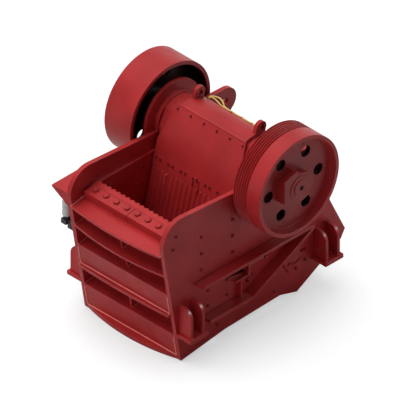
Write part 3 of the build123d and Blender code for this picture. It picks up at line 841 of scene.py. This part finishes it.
# Studio: pale floor, which the camera sees as nearly white, with a painted soft shadow close to the machine
floor_half = 30
floor_z = cad_box[0][2]
floor_corners = [
    (-floor_half, -floor_half, floor_z), (floor_half, -floor_half, floor_z),
    (floor_half, floor_half, floor_z), (-floor_half, floor_half, floor_z),
]
floor_lit = grey(0.24)
floor_bounce = grey(0.46)
floor_mirrored = grey(0.80)
shadow_reach = 1.3
floor_mesh = bpy.data.meshes.new("floor")
floor_mesh.from_pydata(floor_corners, [], [(0, 1, 2, 3)])
floor = add_object("floor", floor_mesh)

floor_material, floor_tree, first_shader = new_material("studio_floor")
floor_tree.nodes.remove(first_shader)
floor_path = floor_tree.nodes.new("ShaderNodeLightPath")
lit = floor_tree.nodes.new("ShaderNodeBsdfDiffuse")
lit.inputs["Color"].default_value = floor_lit
# Painted contact shadow: the glow seen by the camera dims where the machine is near
near = floor_tree.nodes.new("ShaderNodeAmbientOcclusion")
near.samples = 16
near.inputs["Distance"].default_value = shadow_reach
painted_shadow_glow = spread(floor_tree, near.outputs["AO"], low=0.52, high=0.85, start=0.25, end=0.90)
glow = floor_tree.nodes.new("ShaderNodeEmission")
glow.inputs["Color"].default_value = grey(1)
floor_tree.links.new(painted_shadow_glow, glow.inputs["Strength"])
seen = floor_tree.nodes.new("ShaderNodeAddShader")
floor_tree.links.new(lit.outputs[0], seen.inputs[0])
floor_tree.links.new(glow.outputs[0], seen.inputs[1])
bounce = floor_tree.nodes.new("ShaderNodeBsdfDiffuse")
bounce_tone = blend_colours(floor_tree, floor_path.outputs["Is Glossy Ray"], floor_bounce, floor_mirrored)
floor_tree.links.new(bounce_tone, bounce.inputs["Color"])
floor_mix = floor_tree.nodes.new("ShaderNodeMixShader")
floor_tree.links.new(floor_path.outputs["Is Camera Ray"], floor_mix.inputs[0])
floor_tree.links.new(bounce.outputs[0], floor_mix.inputs[1])
floor_tree.links.new(seen.outputs[0], floor_mix.inputs[2])
floor_tree.links.new(floor_mix.outputs[0], floor_tree.nodes["Material Output"].inputs["Surface"])
floor_mesh.materials.append(floor_material)

# World: white where it is seen, mirrored or seen through, and a weak fill for the rest
world_fill = 0.13
world = bpy.data.worlds.new("studio")
bpy.context.scene.world = world
world.use_nodes = True
world_tree = world.node_tree
backdrop = world_tree.nodes["Background"]
backdrop.inputs["Color"].default_value = grey(1)
world_path = world_tree.nodes.new("ShaderNodeLightPath")
strength = world_path.outputs["Is Camera Ray"]
for other in (world_path.outputs["Is Transmission Ray"], world_path.outputs["Is Glossy Ray"], world_fill):
    strength = compute(world_tree, "MAXIMUM", strength, other)
world_tree.links.new(strength, backdrop.inputs["Strength"])

# Each sun: name, strength, angle across, way towards it, and whether only gloss shows it
suns = (
    ("top", 2.90, 60, (-0.42, -0.05, 0.907), False),
    ("front", 0.68, 50, (-0.12, -0.93, 0.35), False),
    ("edge", 3.4, 20, (0.577, 0.577, 0.577), True),
)
for name, power, angle_across, towards, gloss_only in suns:
    sun_data = bpy.data.lights.new(name, "SUN")
    sun_data.energy = power
    sun_data.angle = radians(angle_across)
    sun = add_object(name, sun_data)
    sun.rotation_euler = facing(Vector(towards))
    sun.visible_diffuse = not gloss_only
    sun.visible_glossy = gloss_only

# Weak panel low behind the right side, which lights the rear of the plate more than its front
panel_place = Vector((3.3, 2.5, 0.4))
panel_aim = Vector((side_out, 0.9, 0.2))
panel_data = bpy.data.lights.new("panel", "AREA")
panel_data.shape = "DISK"
panel_data.size = 2.4
panel_data.energy = 9.0
panel = add_object("panel", panel_data)
panel.location = panel_place
panel.rotation_euler = facing(panel_place - panel_aim)
panel.visible_camera = False
panel.visible_glossy = False

# Camera: the photograph's level isometric view, without perspective, placed and scaled in wheel radii
view_right = Vector((1, 1, 0)) / sqrt(2)
view_ahead = Vector((-1, 1, -1)) / sqrt(3)
view_up = view_right.cross(view_ahead)
aim_right = -0.3836 * wheel_radius
aim_up = -1.027 * wheel_radius
view_width = 7.071 * wheel_radius
camera_distance = 9.0
camera_data = bpy.data.cameras.new("camera")
camera_data.type = "ORTHO"
camera_data.ortho_scale = view_width
camera = add_object("camera", camera_data)
target = Vector((0, shaft_y, shaft_z)) + view_right * aim_right + view_up * aim_up
camera.location = target - view_ahead * camera_distance
camera.rotation_euler = facing(-view_ahead)
bpy.context.scene.camera = camera

bpy.context.scene.view_settings.view_transform = "Standard"
